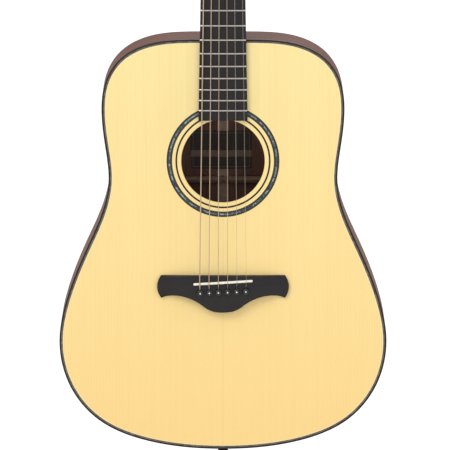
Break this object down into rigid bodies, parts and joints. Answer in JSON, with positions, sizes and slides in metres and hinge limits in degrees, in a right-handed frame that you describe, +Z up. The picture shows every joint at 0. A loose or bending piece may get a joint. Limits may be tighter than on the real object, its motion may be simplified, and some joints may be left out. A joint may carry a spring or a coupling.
{
  "type": "acoustic guitar",
  "caption": "Dreadnought acoustic guitar: hollow braced body, soundhole, pin bridge, fretted neck and geared tuners that turn the string posts.",
  "frame": {"origin": "on the centre line at the foot of the headstock, in the plane of the soundboard's face, where a hanger's yoke holds the neck", "axes": "+Z up the neck to the headstock, +X to the treble side, -Y out of the soundboard towards the player's audience"},
  "size_m": [0.393, 0.1392, 1.0536],
  "materials": {
    "abalone": "polished",
    "bone": "polished",
    "brace_wood": "bare",
    "bronze": "wound",
    "dark_binding": "gloss",
    "ebony": "satin",
    "mahogany": "gloss",
    "nickel": "polished",
    "pearl_button": "gloss",
    "pin_plastic": "gloss",
    "spruce": "satin",
    "steel": "plain"
  },
  "bodies": {
    "guitar_body": {"soundboard": "spruce", "back_plate": "mahogany", "side_bass": "mahogany", "side_treble": "mahogany", "top_binding": "dark_binding", "back_binding": "dark_binding", "top_lining": "brace_wood", "back_lining": "brace_wood", "neck_block": "mahogany", "tail_block": "mahogany", "x_brace_1": "brace_wood", "x_brace_2": "brace_wood", "upper_transverse_brace": "brace_wood", "bridge_plate": "brace_wood", "tone_bar_1": "brace_wood", "tone_bar_2": "brace_wood", "back_brace_1": "brace_wood", "back_brace_2": "brace_wood", "back_brace_3": "brace_wood", "back_brace_4": "brace_wood", "back_center_strip": "brace_wood", "rosette_purfling_ring": "ebony", "rosette_abalone_ring": "abalone", "rosette_inner_ring": "dark_binding", "bridge": "ebony", "saddle": "bone", "bridge_pin_1": "pin_plastic", "bridge_pin_2": "pin_plastic", "bridge_pin_3": "pin_plastic", "bridge_pin_4": "pin_plastic", "bridge_pin_5": "pin_plastic", "bridge_pin_6": "pin_plastic", "end_pin": "pin_plastic", "neck": "mahogany", "fretboard": "ebony", "nut": "bone", "headstock_veneer": "ebony", "truss_rod": "steel", "truss_rod_cover": "pin_plastic", "string_1": "steel", "string_2": "steel", "string_3": "bronze", "string_4": "bronze", "string_5": "bronze", "string_6": "bronze", "tuner_plate_bass": "nickel", "tuner_plate_treble": "nickel"},
    "truss_rod_nut": {"truss_rod_nut": "steel"},
    "tuner_knob_1": {"tuner_knob_1": "pearl_button"},
    "tuner_post_1": {"tuner_post_1": "nickel"},
    "tuner_knob_2": {"tuner_knob_2": "pearl_button"},
    "tuner_post_2": {"tuner_post_2": "nickel"},
    "tuner_knob_3": {"tuner_knob_3": "pearl_button"},
    "tuner_post_3": {"tuner_post_3": "nickel"},
    "tuner_knob_4": {"tuner_knob_4": "pearl_button"},
    "tuner_post_4": {"tuner_post_4": "nickel"},
    "tuner_knob_5": {"tuner_knob_5": "pearl_button"},
    "tuner_post_5": {"tuner_post_5": "nickel"},
    "tuner_knob_6": {"tuner_knob_6": "pearl_button"},
    "tuner_post_6": {"tuner_post_6": "nickel"}
  },
  "joints": [
    {"name": "truss_rod_turn", "type": "hinge", "parent": "guitar_body", "child": "truss_rod_nut", "pos_m": [0, 0.0065, 0.008], "axis": [0, 0, 1], "range_deg": [-360, 360]},
    {"name": "tuner_knob_1_turn", "type": "hinge", "parent": "guitar_body", "child": "tuner_knob_1", "pos_m": [0.0215, 0.02656, 0.03007], "axis": [1, 0, 0], "continuous": true},
    {"name": "tuner_post_1_turn", "type": "hinge", "parent": "guitar_body", "child": "tuner_post_1", "pos_m": [0.0215, 0.01016, 0.04075], "axis": [0, -0.9703, 0.2419], "continuous": true},
    {"name": "tuner_knob_2_turn", "type": "hinge", "parent": "guitar_body", "child": "tuner_knob_2", "pos_m": [0.0215, 0.03624, 0.06888], "axis": [1, 0, 0], "continuous": true},
    {"name": "tuner_post_2_turn", "type": "hinge", "parent": "guitar_body", "child": "tuner_post_2", "pos_m": [0.0215, 0.01984, 0.07956], "axis": [0, -0.9703, 0.2419], "continuous": true},
    {"name": "tuner_knob_3_turn", "type": "hinge", "parent": "guitar_body", "child": "tuner_knob_3", "pos_m": [0.0215, 0.04592, 0.10769], "axis": [1, 0, 0], "continuous": true},
    {"name": "tuner_post_3_turn", "type": "hinge", "parent": "guitar_body", "child": "tuner_post_3", "pos_m": [0.0215, 0.02951, 0.11838], "axis": [0, -0.9703, 0.2419], "continuous": true},
    {"name": "tuner_knob_4_turn", "type": "hinge", "parent": "guitar_body", "child": "tuner_knob_4", "pos_m": [-0.0215, 0.04592, 0.10769], "axis": [1, 0, 0], "continuous": true},
    {"name": "tuner_post_4_turn", "type": "hinge", "parent": "guitar_body", "child": "tuner_post_4", "pos_m": [-0.0215, 0.02951, 0.11838], "axis": [0, -0.9703, 0.2419], "continuous": true},
    {"name": "tuner_knob_5_turn", "type": "hinge", "parent": "guitar_body", "child": "tuner_knob_5", "pos_m": [-0.0215, 0.03624, 0.06888], "axis": [1, 0, 0], "continuous": true},
    {"name": "tuner_post_5_turn", "type": "hinge", "parent": "guitar_body", "child": "tuner_post_5", "pos_m": [-0.0215, 0.01984, 0.07956], "axis": [0, -0.9703, 0.2419], "continuous": true},
    {"name": "tuner_knob_6_turn", "type": "hinge", "parent": "guitar_body", "child": "tuner_knob_6", "pos_m": [-0.0215, 0.02656, 0.03007], "axis": [1, 0, 0], "continuous": true},
    {"name": "tuner_post_6_turn", "type": "hinge", "parent": "guitar_body", "child": "tuner_post_6", "pos_m": [-0.0215, 0.01016, 0.04075], "axis": [0, -0.9703, 0.2419], "continuous": true}
  ],
  "couplings": [
    {"joint": "tuner_post_1_turn", "follows": "tuner_knob_1_turn", "ratio": -0.071429},
    {"joint": "tuner_post_2_turn", "follows": "tuner_knob_2_turn", "ratio": -0.071429},
    {"joint": "tuner_post_3_turn", "follows": "tuner_knob_3_turn", "ratio": -0.071429},
    {"joint": "tuner_post_4_turn", "follows": "tuner_knob_4_turn", "ratio": -0.071429},
    {"joint": "tuner_post_5_turn", "follows": "tuner_knob_5_turn", "ratio": -0.071429},
    {"joint": "tuner_post_6_turn", "follows": "tuner_knob_6_turn", "ratio": -0.071429}
  ]
}
